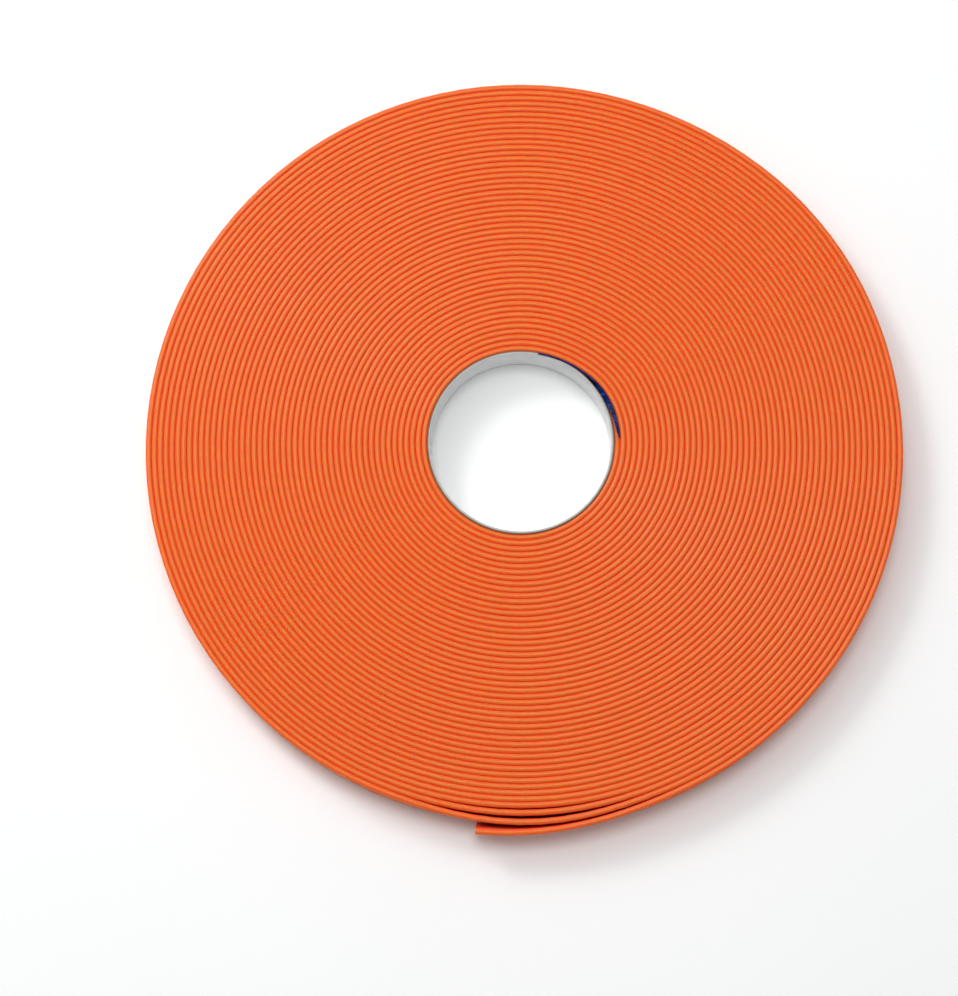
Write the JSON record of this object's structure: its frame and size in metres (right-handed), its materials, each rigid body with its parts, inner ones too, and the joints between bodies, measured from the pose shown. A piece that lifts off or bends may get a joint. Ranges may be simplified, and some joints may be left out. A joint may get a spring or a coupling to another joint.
{
  "type": "coated strap roll",
  "caption": "Flat coated webbing strap wound in a spiral on a thin paper core, with a blue starter tape and a loose outer end that peels off.",
  "frame": {"origin": "on the axis of the core's bore, in the plane of the roll's lower face", "axes": "+Z along the bore from the lower face to the upper face, +X towards three o'clock, where the inner end of the strap starts just before, +Y towards twelve o'clock; seen from +Z the strap winds outwards clockwise and its free end is near -Y"},
  "size_m": [0.3195, 0.3212, 0.019],
  "materials": {
    "coating": "satin orange flexible coating with a fine grain",
    "webbing": "woven polyester, dyed near the coating's colour",
    "core": "grey-brown paper board, light grey inside",
    "tape": "glossy navy film tape"
  },
  "bodies": {
    "roll": {"core_tube": "core", "starter_tape": "tape", "strap_coating": "coating", "strap_webbing": "webbing"},
    "tail_1": {"tail_coating_1": "coating", "tail_webbing_1": "webbing"},
    "tail_2": {"tail_coating_2": "coating", "tail_webbing_2": "webbing"},
    "tail_3": {"tail_coating_3": "coating", "tail_webbing_3": "webbing"},
    "tail_4": {"tail_coating_4": "coating", "tail_webbing_4": "webbing"},
    "tail_5": {"tail_coating_5": "coating", "tail_webbing_5": "webbing"},
    "tail_6": {"tail_coating_6": "coating", "tail_webbing_6": "webbing"},
    "tail_7": {"tail_coating_7": "coating", "tail_webbing_7": "webbing"},
    "tail_8": {"tail_coating_8": "coating", "tail_webbing_8": "webbing"}
  },
  "joints": [
    {"name": "outer_turn_peel", "type": "hinge", "parent": "roll", "child": "tail_1", "pos_m": [0.15978, -0.00195, 0.0095], "axis": [0, 0, 1], "range_deg": [0, 15], "stiffness_Nm_per_rad": 0.02},
    {"name": "outer_turn_bend_2", "type": "hinge", "parent": "tail_1", "child": "tail_2", "pos_m": [0.15588, -0.03513, 0.0095], "axis": [0, 0, 1], "range_deg": [0, 15], "stiffness_Nm_per_rad": 0.02},
    {"name": "outer_turn_bend_3", "type": "hinge", "parent": "tail_2", "child": "tail_3", "pos_m": [0.14517, -0.06677, 0.0095], "axis": [0, 0, 1], "range_deg": [0, 15], "stiffness_Nm_per_rad": 0.02},
    {"name": "outer_turn_bend_4", "type": "hinge", "parent": "tail_3", "child": "tail_4", "pos_m": [0.12812, -0.09549, 0.0095], "axis": [0, 0, 1], "range_deg": [0, 15], "stiffness_Nm_per_rad": 0.02},
    {"name": "outer_turn_bend_5", "type": "hinge", "parent": "tail_4", "child": "tail_5", "pos_m": [0.10546, -0.12004, 0.0095], "axis": [0, 0, 1], "range_deg": [0, 15], "stiffness_Nm_per_rad": 0.02},
    {"name": "outer_turn_bend_6", "type": "hinge", "parent": "tail_5", "child": "tail_6", "pos_m": [0.0782, -0.13935, 0.0095], "axis": [0, 0, 1], "range_deg": [0, 15], "stiffness_Nm_per_rad": 0.02},
    {"name": "loose_end_lift", "type": "hinge", "parent": "tail_6", "child": "tail_7", "pos_m": [0.04752, -0.15256, 0.0095], "axis": [0, 0, 1], "range_deg": [0, 20], "stiffness_Nm_per_rad": 0.02},
    {"name": "loose_end_bend_8", "type": "hinge", "parent": "tail_7", "child": "tail_8", "pos_m": [0.01493, -0.15991, 0.0095], "axis": [0, 0, 1], "range_deg": [0, 20], "stiffness_Nm_per_rad": 0.02}
  ],
  "couplings": [
    {"joint": "outer_turn_bend_2", "follows": "outer_turn_peel", "ratio": 1},
    {"joint": "outer_turn_bend_3", "follows": "outer_turn_peel", "ratio": 1},
    {"joint": "outer_turn_bend_4", "follows": "outer_turn_peel", "ratio": 1},
    {"joint": "outer_turn_bend_5", "follows": "outer_turn_peel", "ratio": 1},
    {"joint": "outer_turn_bend_6", "follows": "outer_turn_peel", "ratio": 1},
    {"joint": "loose_end_bend_8", "follows": "loose_end_lift", "ratio": 1}
  ]
}
